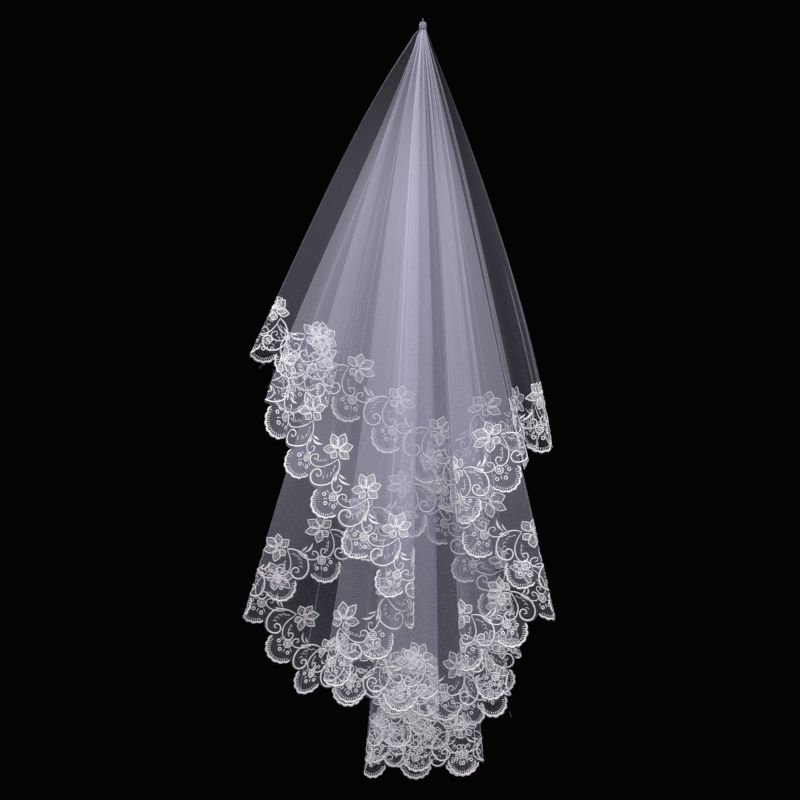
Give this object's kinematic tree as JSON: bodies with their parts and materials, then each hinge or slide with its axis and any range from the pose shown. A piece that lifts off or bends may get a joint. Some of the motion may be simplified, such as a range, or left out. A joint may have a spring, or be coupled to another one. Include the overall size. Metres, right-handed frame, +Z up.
{
  "type": "lace bridal veil",
  "caption": "Oval net bridal veil with a scalloped lace edging, gathered at a point near its middle and hung there by a thread loop, falling in long folds.",
  "frame": {"origin": "the point where the thread loop hangs, the underside of the loop's arch", "axes": "+Z up along the plumb line, -Y towards the viewer of the front, +X to the viewer's right"},
  "size_m": [0.582, 0.6097, 1.4636],
  "materials": {
    "net": "sheer matt net",
    "lace": "satin embroidery on net",
    "gathered_net": "matt gathered net",
    "thread": "twisted thread"
  },
  "bodies": {
    "root": {"net_sheet": "net", "lace_edging": "lace", "net_gather": "gathered_net", "neck_binding": "thread", "hanging_loop": "thread"}
  },
  "joints": []
}
